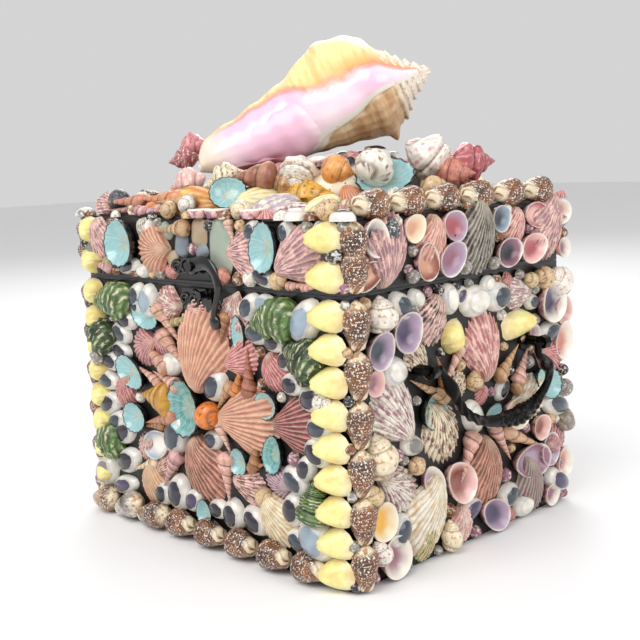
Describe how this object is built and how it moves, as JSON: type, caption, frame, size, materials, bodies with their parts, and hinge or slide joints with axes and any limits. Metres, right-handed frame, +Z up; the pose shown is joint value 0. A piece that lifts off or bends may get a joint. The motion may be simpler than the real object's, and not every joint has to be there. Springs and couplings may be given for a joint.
{
  "type": "shell box",
  "caption": "Hinged wooden casket faced with sea shells, with a large conch on its lid, a hook latch and a drop bail on each side.",
  "frame": {"origin": "middle of the wooden carcase's underside", "axes": "+X to the right along the front, +Y from the front to the back, +Z up"},
  "size_m": [0.353, 0.2874, 0.3917],
  "materials": {
    "black_wood": "black gloss paint on wood",
    "mixed_shell": "varnished mixed sea shells in black glue",
    "yellow_shell": "varnished pale yellow shell",
    "green_shell": "dark green turban shell",
    "scallop_shell": "ribbed salmon scallop",
    "blue_shell": "pearly turquoise limpet inside",
    "orange_shell": "orange shell",
    "pale_shell": "cream shell with fine dots",
    "spotted_shell": "brown shell with white spots",
    "conch_shell": "peach and pink conch, glossy inside",
    "black_iron": "gloss black lacquer",
    "dark_bronze": "dark bronzed casting"
  },
  "bodies": {
    "box": {"carcase": "black_wood", "front_field": "mixed_shell", "front_base_row": "spotted_shell", "cockles_left": "yellow_shell", "cockles_right": "yellow_shell", "flower_scallop_top": "scallop_shell", "flower_scallop_right": "scallop_shell", "flower_scallop_bottom": "scallop_shell", "flower_trochus_left": "orange_shell", "flower_limpet": "blue_shell", "flower_snail": "orange_shell", "green_turban_1": "green_shell", "green_turban_2": "green_shell", "green_turban_3": "green_shell", "green_turban_4": "green_shell", "green_turban_5": "green_shell", "green_turban_6": "green_shell", "right_field": "mixed_shell", "right_corner_column": "spotted_shell", "left_field": "mixed_shell", "left_corner_column": "spotted_shell", "back_field": "mixed_shell", "hinge_left_body_leaf": "black_iron", "hinge_right_body_leaf": "black_iron", "catch_plate": "black_iron", "handle_right_front_post": "dark_bronze", "handle_right_back_post": "dark_bronze", "handle_left_front_post": "dark_bronze", "handle_left_back_post": "dark_bronze"},
    "lid": {"lid_case": "black_wood", "lid_front_field": "mixed_shell", "lid_cockles_left": "yellow_shell", "lid_cockles_right": "yellow_shell", "lid_right_field": "mixed_shell", "lid_right_corner_column": "spotted_shell", "lid_left_field": "mixed_shell", "lid_left_corner_column": "spotted_shell", "lid_back_field": "mixed_shell", "lid_top_field": "mixed_shell", "lid_right_edge_row": "spotted_shell", "lid_left_edge_row": "spotted_shell", "queen_conch": "conch_shell", "sunrise_clam": "orange_shell", "top_limpet": "blue_shell", "spotted_dome": "pale_shell", "ochre_strombus": "orange_shell", "hinge_left_lid_leaf": "black_iron", "hinge_right_lid_leaf": "black_iron", "latch_plate": "black_iron"},
    "hook": {"latch_hook": "black_iron"},
    "bail_right": {"bail_right": "dark_bronze"},
    "bail_left": {"bail_left": "dark_bronze"}
  },
  "joints": [
    {"name": "lid_hinge", "type": "hinge", "parent": "box", "child": "lid", "pos_m": [0, 0.1295, 0.20315], "axis": [-1, 0, 0], "range_deg": [0, 95]},
    {"name": "hook_pivot", "type": "hinge", "parent": "lid", "child": "hook", "pos_m": [0.005, -0.1368, 0.218], "axis": [0, -1, 0], "range_deg": [0, 60]},
    {"name": "right_bail_swing", "type": "hinge", "parent": "box", "child": "bail_right", "pos_m": [0.169, 0.006, 0.145], "axis": [0, -1, 0], "range_deg": [0, 90]},
    {"name": "left_bail_swing", "type": "hinge", "parent": "box", "child": "bail_left", "pos_m": [-0.169, 0.006, 0.145], "axis": [0, 1, 0], "range_deg": [0, 90]}
  ]
}
